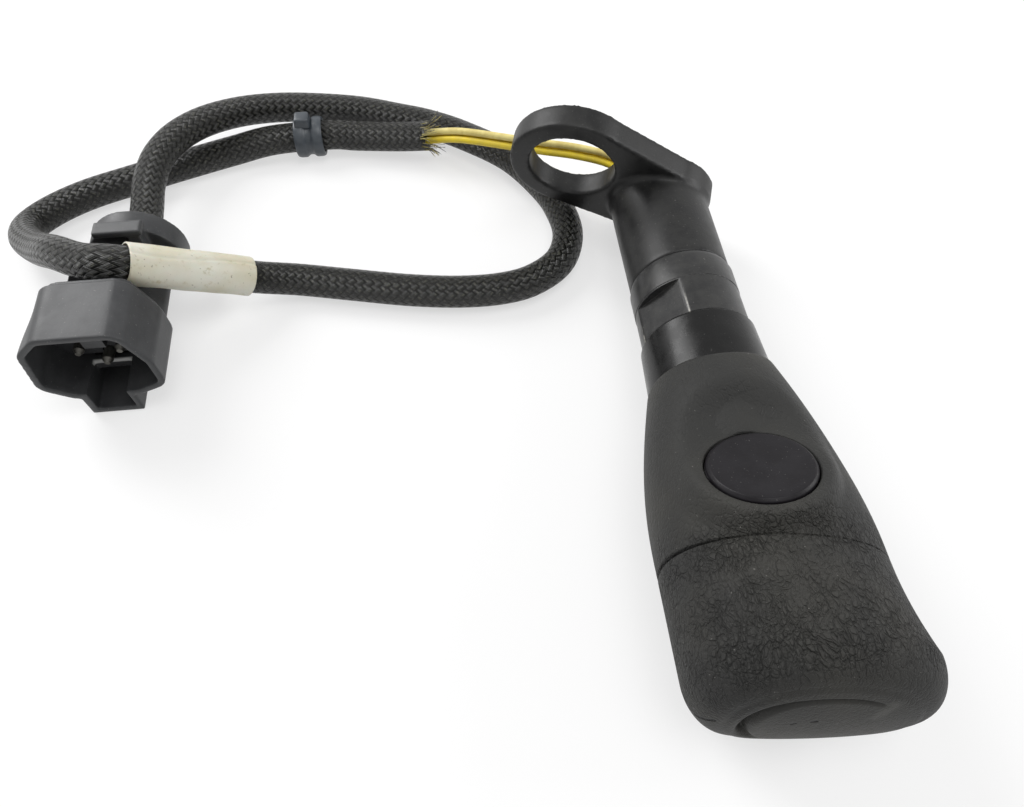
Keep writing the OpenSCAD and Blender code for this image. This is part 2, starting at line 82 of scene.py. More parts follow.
class Value:
    """What a node gives out, with arithmetic that adds Math nodes."""

    def __init__(self, wiring, socket):
        self.wiring = wiring
        self.socket = socket

    def fold(self, operation, *others):
        """Any Math operation, such as SINE, ABSOLUTE or MAXIMUM."""
        return self.wiring.node("ShaderNodeMath", {"operation": operation},
                                dict(enumerate((self, *others))))

    def __add__(self, other): return self.fold("ADD", other)
    def __radd__(self, other): return self.fold("ADD", other)
    def __sub__(self, other): return self.fold("SUBTRACT", other)
    def __mul__(self, other): return self.fold("MULTIPLY", other)
    def __rmul__(self, other): return self.fold("MULTIPLY", other)
    def __mod__(self, other): return self.fold("FLOORED_MODULO", other)

    def __rsub__(self, other):
        return self.wiring.node("ShaderNodeMath", {"operation": "SUBTRACT"}, {0: other, 1: self})

    def ramp(self, low, high, out_low=0.0, out_high=1.0):
        """A smooth step from out_low to out_high as the value goes from low to high."""
        return self.wiring.node("ShaderNodeMapRange", {"interpolation_type": "SMOOTHSTEP"},
                                {0: self, 1: low, 2: high, 3: out_low, 4: out_high})

    def part(self, axis):
        """One component of a vector: 0 for X, 1 for Y, 2 for Z."""
        return self.wiring.node("ShaderNodeSeparateXYZ", {}, {0: self}, axis)


class Wiring:
    """The node tree of a finish or of the air."""

    def __init__(self, tree):
        self.tree = tree

    def node(self, kind, settings, sockets, output=0):
        """Adds a node: its settings first, then numbers or links on its sockets."""
        made = self.tree.nodes.new(kind)
        for key, value in settings.items():
            setattr(made, key, value)
        for key, value in sockets.items():
            if isinstance(value, Value):
                self.tree.links.new(value.socket, made.inputs[key])
            else:
                made.inputs[key].default_value = value
        return Value(self, made.outputs[output])

    def given_by(self, node):
        """What a node that is there from the start gives out."""
        return Value(self, self.tree.nodes[node].outputs[0])

    def lead(self, value, node, socket):
        """Takes a value to a node that is there from the start."""
        self.tree.links.new(value.socket, self.tree.nodes[node].inputs[socket])

    def white_rays(self):
        """1 for the rays that should find plain white: the camera's, and those that a shiny
        or clear surface sends on."""
        camera_ray, shiny_ray, clear_ray = (
            self.node("ShaderNodeLightPath", {}, {}, kind)
            for kind in ("Is Camera Ray", "Is Glossy Ray", "Is Transmission Ray"))
        return camera_ray.fold("MAXIMUM", shiny_ray).fold("MAXIMUM", clear_ray)


class Finish(Wiring):
    """A material on the Principled shader: plain settings go on its own sockets."""

    def __init__(self, name, plain):
        self.material = bpy.data.materials.new(name)
        self.material.use_nodes = True
        super().__init__(self.material.node_tree)
        for socket, value in plain.items():
            self.tree.nodes["Principled BSDF"].inputs[socket].default_value = value

    def place(self):
        """Where a point is on the piece, in metres."""
        return self.node("ShaderNodeTexCoord", {}, {}, "Object")

    def noise(self, at, scale, detail=3.0, rough=0.5):
        """Cloudy texture from 0 to 1, with scale patches in a metre."""
        return self.node("ShaderNodeTexNoise", {}, {
            "Vector": at, "Scale": scale, "Detail": detail, "Roughness": rough}, "Fac")

    def blend(self, share, low, high):
        """A colour between low and high. A Mix node has its colours on sockets 6 and 7, and
        gives the mixed one on output 2."""
        return self.node("ShaderNodeMix", {"data_type": "RGBA"}, {0: share, 6: low, 7: high}, 2)

    def relief(self, height, distance, strength=1.0, under=None):
        """A bump of that height in metres; under is another relief beneath it."""
        sockets = {"Height": height, "Distance": distance, "Strength": strength}
        if under is not None:
            sockets["Normal"] = under
        return self.node("ShaderNodeBump", {}, sockets, "Normal")

    def feed(self, socket, value):
        """Takes what varies to the shader."""
        self.lead(value, "Principled BSDF", socket)

    def dress(self, *things):
        """Puts the finish on pieces or CAD nodes."""
        for thing in things:
            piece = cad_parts[thing] if isinstance(thing, str) else thing
            piece.data.materials.clear()
            piece.data.materials.append(self.material)


# The table top is as bright as the air round it, and keeps soft shadows.
table_half, table_under, table_glow = 3.0, 0.0002, 0.6
floor_mesh = bpy.data.meshes.new("floor")
floor_mesh.from_pydata([(x * table_half, y * table_half, -table_under)
                        for x, y in ((-1, -1), (1, -1), (1, 1), (-1, 1))], [], [(0, 1, 2, 3)])
floor = bpy.data.objects.new("floor", floor_mesh)
bpy.context.collection.objects.link(floor)
table = Finish("table_white", {"Base Color": (0.9, 0.9, 0.9, 1), "Roughness": 0.7,
                               "Specular IOR Level": 0.2})
glow = table.node("ShaderNodeEmission", {}, {"Color": (1, 1, 1, 1), "Strength": 1.0})
table.lead(table.node("ShaderNodeMixShader", {}, {
    0: table.white_rays() * table_glow, 1: table.given_by("Principled BSDF"), 2: glow}),
    "Material Output", "Surface")
table.dress(floor)

world = bpy.data.worlds.new("air")
world.use_nodes = True
bpy.context.scene.world = world
air = Wiring(world.node_tree)
for socket, value in (("Color", (1, 1, 1, 1)), ("Strength", 0.45)):
    world.node_tree.nodes["Background"].inputs[socket].default_value = value
air_seen = air.node("ShaderNodeBackground", {}, {"Color": (1, 1, 1, 1), "Strength": 1.0})
air.lead(air.node("ShaderNodeMixShader", {}, {
    0: air.white_rays(), 1: air.given_by("Background"), 2: air_seen}),
    "World Output", "Surface")
bpy.context.scene.view_settings.view_transform = "Standard"

# ---------------------------------------------------------------------------
# Braided sleeve: black polyester braid over the wires, in one loose loop on the table.
# It is swept along its route, and its finish lays strands over and under each other.
# ---------------------------------------------------------------------------

sleeve_route = [
    (-0.0526, 0.0968, 0.0075), (-0.0606, 0.0988, 0.0062), (-0.0726, 0.1014, 0.0052),
    (-0.0806, 0.102, 0.0058), (-0.0966, 0.1014, 0.0058), (-0.1086, 0.0994, 0.0046),
    (-0.1226, 0.095, 0.0044), (-0.1356, 0.0904, 0.0044), (-0.1471, 0.086, 0.0044),
    (-0.1556, 0.0809, 0.0044), (-0.1602, 0.0744, 0.0054), (-0.158, 0.0664, 0.009),
    (-0.1499, 0.0567, 0.015), (-0.14, 0.0469, 0.0233), (-0.132, 0.0414, 0.0259),
    (-0.124, 0.0393, 0.0268), (-0.1141, 0.0428, 0.0195), (-0.1059, 0.0458, 0.0134),
    (-0.0976, 0.0487, 0.0073), (-0.0876, 0.049, 0.0048), (-0.0746, 0.0464, 0.0044),
    (-0.0596, 0.0431, 0.0044), (-0.0466, 0.0413, 0.0044), (-0.0358, 0.0413, 0.0044),
    (-0.0274, 0.0434, 0.0044), (-0.02, 0.0489, 0.0044), (-0.0166, 0.0574, 0.0044),
    (-0.0173, 0.0664, 0.0044), (-0.0207, 0.0759, 0.0044), (-0.0292, 0.089, 0.0044),
    (-0.0416, 0.0994, 0.0044), (-0.0516, 0.1055, 0.0044), (-0.0606, 0.109, 0.0046),
    (-0.0716, 0.112, 0.0055), (-0.0836, 0.1127, 0.007), (-0.0951, 0.1117, 0.0088),
    (-0.1056, 0.1084, 0.0108), (-0.1146, 0.1026, 0.0128), (-0.1211, 0.0954, 0.014),
    (-0.125, 0.0874, 0.0142), (-0.1266, 0.0792, 0.0132), (-0.1266, 0.0712, 0.0119),
    (-0.1264, 0.0647, 0.0115), (-0.1264, 0.0598, 0.0115)]


def smooth_line(points, step):
    """Points about step apart on the smooth curve through the given ones."""
    fine_step = 0.0002
    points = [Vector(p) for p in points]
    ends = [2 * points[0] - points[1], *points, 2 * points[-1] - points[-2]]
    fine = []
    for a, b, c, d in zip(ends, ends[1:], ends[2:], ends[3:]):
        count = max(2, round((c - b).length / fine_step))
        for k in range(count):
            t = k / count
            fine.append(0.5 * (2 * b + (c - a) * t + (2 * a - 5 * b + 4 * c - d) * t * t
                               + (3 * b - a - 3 * c + d) * t * t * t))
    fine.append(points[-1])
    travelled = [0.0]
    for a, b in zip(fine, fine[1:]):
        travelled.append(travelled[-1] + (b - a).length)
    count = round(travelled[-1] / step)
    line, k = [], 0
    for i in range(count + 1):
        goal = travelled[-1] * i / count
        while k < len(fine) - 2 and travelled[k + 1] < goal:
            k += 1
        share = (goal - travelled[k]) / max(1e-9, travelled[k + 1] - travelled[k])
        line.append(fine[k].lerp(fine[k + 1], min(1.0, share)))
    return line


def frames_along(line):
    """(point, side, up) at each point, turning as little as it can from one to the next."""
    steps = [(line[min(i + 1, len(line) - 1)] - line[max(i - 1, 0)]).normalized()
             for i in range(len(line))]
    side = steps[0].cross(Vector((0, 0, 1))).normalized()
    for point, ahead in zip(line, steps):
        side = (side - ahead * side.dot(ahead)).normalized()
        yield point, side, side.cross(ahead)


def new_piece(name, made, body):
    """Makes a piece of a bmesh. It rides on body."""
    mesh = bpy.data.meshes.new(name)
    made.to_mesh(mesh)
    made.free()
    mesh.shade_smooth()
    piece = bpy.data.objects.new(name, mesh)
    bpy.context.collection.objects.link(piece)
    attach(piece, body)
    return piece


def swept(name, line, radius, sides, body):
    """A tube round a line. Its UV map counts turns of the surface across and metres along."""
    made = bmesh.new()
    uv = made.loops.layers.uv.new("UVMap")
    rings, along, walked = [], [], 0.0
    for i, (point, side, up) in enumerate(frames_along(line)):
        if i:
            walked += (line[i] - line[i - 1]).length
        along.append(walked)
        ring = []
        for k in range(sides):
            angle = math.tau * k / sides
            ring.append(made.verts.new(point + radius * (math.cos(angle) * side
                                                         + math.sin(angle) * up)))
        rings.append(ring)
    for i, (here, there) in enumerate(zip(rings, rings[1:])):
        for k in range(sides):
            after = (k + 1) % sides
            face = made.faces.new((here[k], there[k], there[after], here[after]))
            for loop, (a, b) in zip(face.loops, ((k, i), (k, i + 1), (k + 1, i + 1), (k + 1, i))):
                loop[uv].uv = (a / sides, along[b])
    for ring in (rings[0], rings[-1]):
        made.faces.new(ring)
    bmesh.ops.recalc_face_normals(made, faces=made.faces)
    return new_piece(name, made, body)


sleeve_line = smooth_line(sleeve_route, step=0.0008)
sleeve_diameter, strand_rise = 0.0084, 0.0001
sleeve = swept("sleeve", sleeve_line, radius=sleeve_diameter / 2 - strand_rise, sides=40,
               body="lever")
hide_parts("braided_sleeve")

braid = Finish("braid_black", {"Roughness": 0.3, "Specular IOR Level": 0.4})
braid_at = braid.node("ShaderNodeUVMap", {"uv_map": "UVMap"}, {})
carriers, cell_length = 14.0, 0.0023
filament_waves, filament_share = 4, 0.35
around = braid_at.part(0) * carriers
onward = braid_at.part(1) * (1 / cell_length)
right_hand = around + onward
left_hand = around - onward
turn = (right_hand.fold("FLOOR") + left_hand.fold("FLOOR")) % 2.0


def strand(across, over):
    """Height of the strand that crosses over another: an arch with filaments along it."""
    arch = (over.fold("FRACT") * math.pi).fold("SINE")
    ribs = (across.fold("FRACT") * (filament_waves * math.pi)).fold("SINE").fold("ABSOLUTE")
    return (ribs * filament_share + (1 - filament_share)) * arch


weave = turn * strand(right_hand, left_hand) + (1 - turn) * strand(left_hand, right_hand)
# Painted light in the braid's colour: glint is a painted highlight on the strand tops, and tone
# paints the low gaps between strands darker as painted shade.
glint = braid.noise(braid.place(), 1300, 2).ramp(0.52, 0.66) * weave.ramp(0.6, 0.95)
tone = braid.blend(weave.ramp(0.1, 0.7), (0.003, 0.003, 0.002, 1), (0.0145, 0.0145, 0.0125, 1))
braid.feed("Base Color", braid.blend(glint * 0.42, tone, (0.2, 0.2, 0.15, 1)))
braid.feed("Normal", braid.relief(weave, 0.0006, 1.0))
braid.dress(sleeve)

# ---------------------------------------------------------------------------
# Wires: two yellow leads and a cream one, with smooth plastic insulation.
# They leave the bore of the arm side by side, and end inside the sleeve.
# ---------------------------------------------------------------------------


def length_of(line):
    return sum((b - a).length for a, b in zip(line, line[1:]))


lever_tilt = math.radians(-3.13655)
lever_place = (Matrix.Translation((0.0064, 0.0114, 0.015818))
               @ Matrix.Rotation(lever_tilt, 4, "X"))
bore_stations = (0.050, 0.054, 0.0574)
wire_route = [
    (0.0024, 0.0704, 0.0138), (-0.0041, 0.0754, 0.0142), (-0.0121, 0.0788, 0.0144),
    (-0.0206, 0.0816, 0.0142), (-0.0296, 0.0854, 0.0134), (-0.0376, 0.0894, 0.0122),
    (-0.0431, 0.0924, 0.0109), (-0.0476, 0.095, 0.009)]
wire_diameter, into_sleeve = 0.0019, 0.0015
yellow = Finish("wire_yellow", {"Specular IOR Level": 0.3})
cream = Finish("wire_cream", {"Specular IOR Level": 0.3})
for insulation, fresh, dull in ((yellow, (0.72, 0.55, 0.03, 1), (0.6, 0.46, 0.05, 1)),
                                (cream, (0.72, 0.62, 0.24, 1), (0.58, 0.47, 0.16, 1))):
    wear = insulation.noise(insulation.place(), 350, 3)
    insulation.feed("Base Color", insulation.blend(wear.ramp(0.35, 0.7), fresh, dull))
    insulation.feed("Roughness", wear.ramp(0.3, 0.7, 0.36, 0.5))
    insulation.feed("Normal", insulation.relief(wear, 0.00005, 0.6))
for name, offset, finish, slot in (
        ("wire_yellow_a", (-0.00115, -0.00075), yellow, "wire_yellow"),
        ("wire_yellow_b", (0.00115, -0.00075), yellow, "wire_yellow"),
        ("wire_white", (0.0, 0.00125), cream, "wire_white")):
    # Each wire keeps its place in the bundle: aside and above the middle of the route.
    aside, above = offset
    start = [lever_place @ Vector((aside, y, above)) for y in bore_stations]
    path = [Vector(p) for p in wire_route]
    free = []
    for i, point in enumerate(path):
        ahead = (path[min(i + 1, len(path) - 1)] - path[max(i - 1, 0)]).normalized()
        across = ahead.cross(Vector((0, 0, 1))).normalized()
        free.append(point + aside * across + Vector((0, 0, above)))
    inward = (Vector(sleeve_route[1]) - Vector(sleeve_route[0])).normalized()
    across = inward.cross(Vector((0, 0, 1))).normalized()
    last = [Vector(sleeve_route[0]) + inward * k + aside * across
            + above * across.cross(inward) for k in (-into_sleeve, 0.0)]
    line = smooth_line(start + free + last, step=0.001)
    wire = swept(name + "_lead", line, radius=wire_diameter / 2, sides=16, body="lever")
    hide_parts(name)
    finish.dress(wire)
    length_of(line)

length_of(sleeve_line)

# ---------------------------------------------------------------------------
# Frayed end of the sleeve: the braid is cut and left open, and its black and pale
# filaments stand out round the wires. Each colour is one mesh of fine hairs.
# ---------------------------------------------------------------------------


def filaments(name, count, seed, thickness):
    """Short cut hairs round the open end of the sleeve, in one mesh."""
    rooted, root_share, thinner, lowest = 0.0012, 0.47, 0.15, 0.0004
    draw = random.Random(seed)
    made = bmesh.new()
    end = Vector(sleeve_route[0])
    out = (end - Vector(sleeve_route[1])).normalized()
    side = out.cross(Vector((0, 0, 1))).normalized()
    up = side.cross(out)
    for _ in range(count):
        turn = draw.uniform(0, math.tau)
        rim = math.cos(turn) * side + math.sin(turn) * up
        swirl = out.cross(rim)
        reach = draw.uniform(0.0016, 0.0048)
        splay, twist = draw.uniform(0.1, 0.75), draw.uniform(-0.6, 0.6)
        line = [end - rooted * out + rim * sleeve_diameter * root_share]
        for step in (0.35, 0.7, 1.0):
            line.append(line[0] + out * (rooted + reach * step)
                        + rim * reach * splay * step * step + swirl * reach * twist * step)
        previous = None
        for i, (point, across, over) in enumerate(frames_along(line)):
            point.z = max(point.z, lowest)
            size = thickness * (1 - thinner * i)
            ring = [made.verts.new(point + size * (math.cos(a) * across + math.sin(a) * over))
                    for a in (0, math.tau / 4, math.tau / 2, 3 * math.tau / 4)]
            if previous:
                for k in range(4):
                    after = (k + 1) % 4
                    made.faces.new((previous[k], ring[k], ring[after], previous[after]))
            else:
                made.faces.new(ring)
            previous = ring
        made.faces.new(previous)
    bmesh.ops.recalc_face_normals(made, faces=made.faces)
    return new_piece(name, made, "lever")


fringe_black = Finish("fringe_black", {"Base Color": (0.05, 0.05, 0.045, 1), "Roughness": 0.35})
fringe_black.dress(filaments("sleeve_fringe_black", count=70, seed=5, thickness=0.00011))
fringe_pale = Finish("fringe_pale", {"Base Color": (0.42, 0.36, 0.12, 1), "Roughness": 0.35})
fringe_pale.dress(filaments("sleeve_fringe_pale", count=34, seed=11, thickness=0.0001))

# ---------------------------------------------------------------------------
# Marker sleeve: off-white heat-shrink tube, blank, shrunk over the braid and soiled.
# A turned wall with rounded ends, one crease along it and a slightly uneven skin.
# ---------------------------------------------------------------------------


def rounded(outline, radius, steps=4):
    """A closed outline of (radius, height) points with its corners rounded. A corner takes
    less than half of a side."""
    most = 0.45
    points = []
    for before, corner, after in zip(outline[-1:] + outline[:-1], outline,
                                     outline[1:] + outline[:1]):
        b, c, a = Vector(before), Vector(corner), Vector(after)
        cut = min(radius, (b - c).length * most, (a - c).length * most)
        start, end = c + (b - c).normalized() * cut, c + (a - c).normalized() * cut
        for i in range(steps + 1):
            t = i / steps
            points.append(tuple((1 - t) ** 2 * start + 2 * t * (1 - t) * c + t * t * end))
    return points


def aimed(start, end):
    """A frame at start whose Z points to end."""
    way = Vector(end) - Vector(start)
    return Matrix.Translation(start) @ way.to_track_quat("Z", "Y").to_matrix().to_4x4()


def bridged(made, rings, closed=True):
    """Adds rings of points, with faces from each to the next. Closed ones go round to the
    first again, and open ones are capped."""
    rows = [[made.verts.new(p) for p in ring] for ring in rings]
    for here, there in zip(rows, rows[1:] + rows[:1] if closed else rows[1:]):
        for k in range(len(here)):
            after = (k + 1) % len(here)
            made.faces.new((here[k], there[k], there[after], here[after]))
    if not closed:
        made.faces.new(rows[0])
        made.faces.new(rows[-1])
    bmesh.ops.recalc_face_normals(made, faces=made.faces)


def turned(name, place, outline, sides, body, uneven=None, closed=True):
    """An outline of (radius, height) turned round the Z axis of place. One that isn't closed
    starts and ends at the axis."""
    rings = []
    for radius, height in outline:
        ring = []
        for k in range(sides):
            angle = math.tau * k / sides
            r = radius + (uneven(angle, radius, height) if uneven else 0.0)
            ring.append(place @ Vector((r * math.cos(angle), r * math.sin(angle), height)))
        rings.append(ring)
    made = bmesh.new()
    bridged(made, rings, closed)
    return new_piece(name, made, body)


label_from = Vector((-0.1224, 0.0399, 0.0256))
label_to = Vector((-0.0983, 0.04845, 0.00782))
label_long = 0.95 * (label_to - label_from).length
label_inner, label_outer = sleeve_diameter / 2 + 0.0003, sleeve_diameter / 2 + 0.0009
crease_way = aimed(label_from, label_to).to_3x3().transposed() @ Vector((0.3, -0.12, 0.87))
crease_at = math.atan2(crease_way.y, crease_way.x) % math.tau
shrunk, crease_deep, crease_wide, ripple_deep, ripples = 0.00014, 0.00022, 0.06, 0.0001, 180
lip_share, lip_aside, lip_wide = 0.4, 0.16, 0.12


def label_skin(angle, radius, height):
    """How far the outside of the marker stands off its round wall."""
    if radius < label_inner + 0.0001:
        return 0.0
    off = (angle - crease_at - 0.12 * math.sin(height * 190) + math.pi) % math.tau - math.pi
    crease = math.exp(-(off / crease_wide) ** 2)
    crease -= lip_share * math.exp(-((off - lip_aside) / lip_wide) ** 2)
    ripple = noise.noise(Vector((math.cos(angle) * 1.6, math.sin(angle) * 1.6,
                                 height * ripples)))
    return -shrunk - crease_deep * crease + ripple_deep * ripple


label_outline = [(label_inner, 0.0), (label_outer, 0.0)] + [
    (label_outer, label_long * i / 30) for i in range(1, 30)] + [
    (label_outer, label_long), (label_inner, label_long)]
marker = turned("marker", aimed(label_from, label_to), rounded(label_outline, 0.0005, 3),
                sides=96, body="lever", uneven=label_skin)
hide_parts("marker_sleeve")
shrink = Finish("shrink_white", {"Roughness": 0.42, "Specular IOR Level": 0.4,
                                 "Subsurface Weight": 0.1, "Subsurface Scale": 0.001})
shrink_at = shrink.place()
soil = shrink.noise(shrink_at, 420, 4, 0.65).ramp(0.56, 0.74)
shade = shrink.noise(shrink_at, 90, 2).ramp(0.35, 0.7)
specks = shrink.noise(shrink_at, 1500, 2).ramp(0.68, 0.74)
base = shrink.blend(shade, (0.57, 0.54, 0.42, 1), (0.65, 0.64, 0.56, 1))
base = shrink.blend(soil * 0.6, base, (0.36, 0.31, 0.17, 1))
stain = shrink.noise(shrink_at, 160, 3, 0.6).ramp(0.45, 0.65)
stain = stain * shrink_at.part(0).ramp(-0.118, -0.126, 0.25, 1.0)
base = shrink.blend(stain * 0.5, base, (0.47, 0.42, 0.26, 1))
shrink.feed("Base Color", shrink.blend(specks * 0.6, base, (0.12, 0.10, 0.07, 1)))
shrink.feed("Normal", shrink.relief(shrink.noise(shrink_at, 500, 3), 0.0001, 0.5))
shrink.dress(marker)

# ---------------------------------------------------------------------------
# Cable tie: dark nylon band of two ribs round the braid, pulled tight.
# The band is turned, and its locking head is a block with rounded edges on top.
# ---------------------------------------------------------------------------

tie_place = aimed((-0.0863, 0.10179, 0.0058), (-0.0763, 0.10179, 0.0058))
tie_inner = sleeve_diameter / 2 + 0.0003
tie_edge, tie_waist, tie_rib = tie_inner + 0.0008, tie_inner + 0.0004, tie_inner + 0.0011
tie_outline = [(tie_inner, -0.004), (tie_edge, -0.004), (tie_rib, -0.0032), (tie_rib, -0.0014),
               (tie_waist, -0.0006), (tie_waist, 0.0006), (tie_rib, 0.0014), (tie_rib, 0.0032),
               (tie_edge, 0.004), (tie_inner, 0.004)]
tie = turned("tie_band", tie_place, rounded(tie_outline, 0.0004), sides=72, body="lever")
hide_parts("cable_tie")

head_size, head_edge, head_taper = (0.0046, 0.0046, 0.0031), 0.0006, 0.85
made = bmesh.new()
bmesh.ops.create_cube(made, size=1.0)
for vert in made.verts:
    narrow = head_taper if vert.co.z > 0 else 1.0
    vert.co = Vector((vert.co.x * head_size[0] * narrow, vert.co.y * head_size[1] * narrow,
                      vert.co.z * head_size[2]))
bmesh.ops.bevel(made, geom=made.edges[:], offset=head_edge, segments=4, profile=0.5,
                affect="EDGES")
made.transform(Matrix.Translation((-0.0875, 0.10179, 0.0058 + tie_inner + 0.0015)))
tie_head = new_piece("tie_head", made, "lever")

nylon = Finish("tie_nylon", {"Roughness": 0.36})
grain = nylon.noise(nylon.place(), 700, 3)
nylon.feed("Base Color", nylon.blend(grain, (0.022, 0.028, 0.036, 1), (0.05, 0.06, 0.07, 1)))
nylon.feed("Normal", nylon.relief(grain, 0.00008, 0.6))
nylon.dress(tie, tie_head)

# ---------------------------------------------------------------------------
# Arm with its cranked eye lug: forged steel with a satin black coat, dusty on top.
# One fine skin over the CAD solid: a belt fills its groove, the hub's outer side is
# drawn in, and the throat between arm and lug is blended. A rubber grommet plugs its bore.
# ---------------------------------------------------------------------------


def coated(name, dark, light, rough, scale, bump, dust, sheen):
    """Satin paint or moulded plastic: two tones, fine texture and a little dust."""
    made = Finish(name, {"Specular IOR Level": sheen})
    at = made.place()
    tone = made.noise(at, scale, 4, 0.6)
    fine = made.noise(at, scale * 9, 2)
    specks = made.noise(at, 2600, 2).ramp(0.69, 0.75)
    made.base = made.blend(specks * dust, made.blend(tone.ramp(0.3, 0.7), dark, light),
                           (0.35, 0.34, 0.32, 1))
    made.feed("Base Color", made.base)
    made.feed("Roughness", tone.ramp(0.3, 0.7, rough - 0.05, rough + 0.06))
    made.feed("Normal", made.relief(fine, bump, 0.5, made.relief(tone, bump * 3, 0.4)))
    return made


def bare(name, base, rough, metal):
    """Plain inner finish with fine grain."""
    made = Finish(name, {"Metallic": metal})
    grain = made.noise(made.place(), 900, 3)
    made.feed("Base Color", made.blend(grain, tuple(0.85 * c for c in base[:3]) + (1,), base))
    made.feed("Roughness", grain.ramp(0.2, 0.8, rough - 0.05, rough + 0.05))
    made.feed("Normal", made.relief(grain, 0.00003, 0.5))
    return made


lug_at, lug_yaw = 0.046, math.radians(17)
lug_slope, lug_rise = math.radians(15), math.radians(27)
lug_place = (lever_place @ Matrix.Translation((0, lug_at, 0)) @ Matrix.Rotation(-lug_yaw, 4, "Z")
             @ Matrix.Rotation(lug_slope, 4, "X") @ Matrix.Rotation(lug_rise, 4, "Y"))


def remeshed(node, voxel, belt=()):
    """The solid of a CAD node, and any rings of points that close a belt round it, as one
    even skin of small faces."""
    made = bmesh.new()
    made.from_mesh(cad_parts[node].data)
    bridged(made, belt)
    raw = bpy.data.meshes.new(node + "_raw")
    made.to_mesh(raw)
    made.free()
    holder = bpy.data.objects.new(node + "_raw", raw)
    bpy.context.collection.objects.link(holder)
    remesh = holder.modifiers.new("remesh", "REMESH")
    remesh.mode = "VOXEL"
    remesh.voxel_size = voxel
    scene_now = bpy.context.evaluated_depsgraph_get()
    even = bpy.data.meshes.new_from_object(holder.evaluated_get(scene_now))
    made = bmesh.new()
    made.from_mesh(even)
    bpy.data.objects.remove(holder)
    bpy.data.meshes.remove(raw)
    bpy.data.meshes.remove(even)
    return made


def soften(made, verts, rounds):
    """Smooths away the steps that the voxels leave."""
    for _ in range(rounds):
        bmesh.ops.smooth_vert(made, verts=verts, factor=0.5, use_axis_x=True, use_axis_y=True,
                              use_axis_z=True)


def part_way(value, start, length):
    """How far value is from start to start + length, from 0 to 1."""
    return min(1.0, max(0.0, (value - start) / length))


arm_radius, groove_floor = 0.012, 0.0095
groove_from, groove_to = 0.01796, 0.0204
belt_sides = 160
belt = [[lever_place @ Vector((radius * math.cos(math.tau * k / belt_sides), y,
                               radius * math.sin(math.tau * k / belt_sides)))
         for k in range(belt_sides)]
        for radius, y in ((arm_radius, groove_from), (arm_radius, groove_to),
                          (groove_floor, groove_to), (groove_floor, groove_from))]
made = remeshed("lever_arm", voxel=0.00036, belt=belt)
to_lever, to_lug = lever_place.inverted(), lug_place.inverted()
hub_narrowed, hub_from, plate_under, plate_deep = 0.27, 0.0095, -0.003, 0.003
throat_from, throat_to, throat_reach, bore_clear = -0.007, 0.0012, 0.0138, 0.006
throat = []
for vert in made.verts:
    at = to_lug @ vert.co
    push = max(0.0, at.x - hub_from) * part_way(at.y, plate_under, plate_deep)
    vert.co = lug_place @ (at - Vector((hub_narrowed * push, 0, 0)))
    in_arm = to_lever @ vert.co
    if (throat_from < at.y < throat_to and math.hypot(at.x, at.z) < throat_reach
            and math.hypot(in_arm.x, in_arm.z) > bore_clear):
        throat.append(vert)
soften(made, made.verts, rounds=9)
soften(made, throat, rounds=30)
arm = new_piece("arm_with_lug", made, "lever")
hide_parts("lever_arm")
coated("arm_black", dark=(0.008, 0.008, 0.0083, 1), light=(0.016, 0.016, 0.0155, 1), rough=0.4,
       scale=260, bump=0.00004, dust=0.2, sheen=0.25).dress(arm)
bare("wire_grommet_finish", (0.01, 0.01, 0.01, 1), rough=0.6, metal=0.0).dress("wire_grommet")

# ---------------------------------------------------------------------------
# Adapter with two wrench flats: turned steel, semi-gloss black, worn at its edges, with a painted
# highlight along the edges of the flats.
# The flats end in a square shoulder, above which a line is turned round it.
# ---------------------------------------------------------------------------


def break_edges(piece, width, angle, segments=3):
    """Small rounded edges, for the light to catch."""
    bevel = piece.modifiers.new("edges", "BEVEL")
    bevel.width = width
    bevel.segments = segments
    bevel.limit_method = "ANGLE"
    bevel.angle_limit = math.radians(angle)
    bevel.harden_normals = True


nut_sides, half_flat, nut_turn = 192, 17, math.radians(50)
nut_outer, nut_line, nut_inner, nut_chamfer = 0.0124, 0.01228, 0.0085, 0.0121
shoulder_at, nut_end = 0.0099, 0.0179
# Each ring is at a y, with a radius, and is cut by the flats or not.
nut_rings = [(0.0, nut_chamfer, True), (0.0003, nut_outer, True), (shoulder_at, nut_outer, True),
             (shoulder_at, nut_outer, False), (0.01, nut_line, False), (0.0103, nut_line, False),
             (0.0104, nut_outer, False), (0.0166, nut_outer, False), (nut_end, 0.01203, False),
             (nut_end, nut_inner, False), (0.0, nut_inner, False)]
made = bmesh.new()
wear = made.verts.layers.float.new("wear")
rows = []
for y, radius, flats in nut_rings:
    row = []
    for k in range(nut_sides):
        off = (k + nut_sides // 4) % (nut_sides // 2) - nut_sides // 4
        r = radius
        if flats and abs(off) < half_flat:
            step = math.tau / nut_sides
            r = min(radius, nut_outer * math.cos(half_flat * step) / math.cos(off * step))
        elif (y, radius) == (shoulder_at, nut_outer):
            row.append(rows[-1][k])
            continue
        turn = math.tau * k / nut_sides - nut_turn
        row.append(made.verts.new(lever_place @ Vector((r * math.sin(turn), y,
                                                        r * math.cos(turn)))))
        # The edges of the flats are marked for their painted light: wear and a painted highlight.
        row[-1][wear] = float(flats and abs(off) == half_flat)
    rows.append(row)
for here, there in zip(rows, rows[1:] + rows[:1]):
    for k in range(nut_sides):
        after = (k + 1) % nut_sides
        corners = list(dict.fromkeys((here[k], there[k], there[after], here[after])))
        if len(corners) > 2:
            made.faces.new(corners)
bmesh.ops.recalc_face_normals(made, faces=made.faces)
adapter = new_piece("adapter", made, "lever")
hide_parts("adapter_nut")
break_edges(adapter, width=0.00013, angle=24, segments=2)
